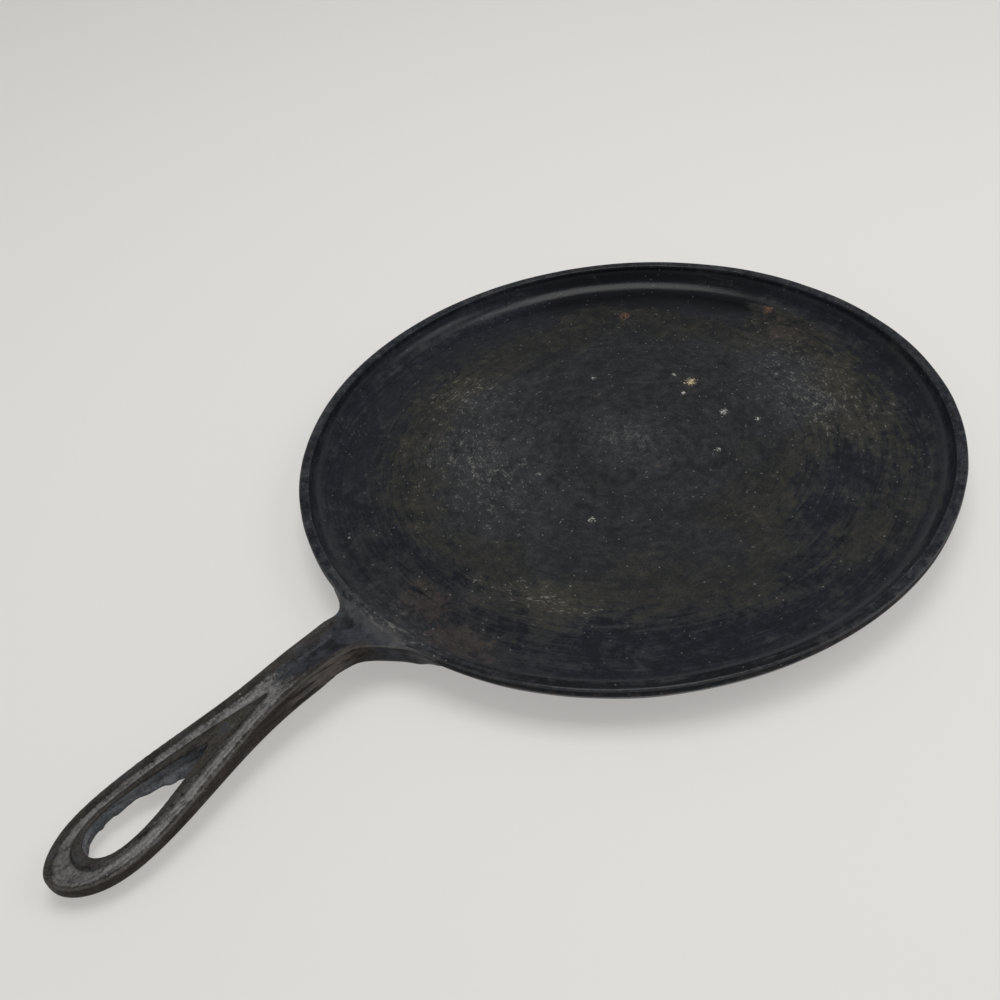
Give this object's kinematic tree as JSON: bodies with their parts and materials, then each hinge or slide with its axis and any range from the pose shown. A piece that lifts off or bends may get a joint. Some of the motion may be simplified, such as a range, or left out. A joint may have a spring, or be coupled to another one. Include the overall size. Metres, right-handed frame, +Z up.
{
  "type": "griddle pan",
  "caption": "Round flat cast-iron griddle pan with a low flat-topped rim, a base ring and an arched channelled loop handle with a teardrop hanging hole.",
  "frame": {"origin": "middle of the cooking floor's upper face, at the centre of the round plate", "axes": "+Z up out of the cooking floor; the handle points along -Y, so +X is to the right seen from the handle's end"},
  "size_m": [0.29, 0.4304, 0.0236],
  "materials": {
    "worn_floor": "worn, matt seasoning",
    "seasoned_rim": "satin seasoning",
    "dark_underside": "matt, sooty",
    "brown_handle": "dry, slightly rusted casting skin"
  },
  "bodies": {
    "root": {"cooking_floor": "worn_floor", "rim_wall": "seasoned_rim", "rim_lip": "seasoned_rim", "base_ring": "dark_underside", "handle_neck": "brown_handle", "handle_web": "brown_handle", "handle_limb_left": "brown_handle", "handle_limb_right": "brown_handle", "handle_tip": "brown_handle"}
  },
  "joints": []
}
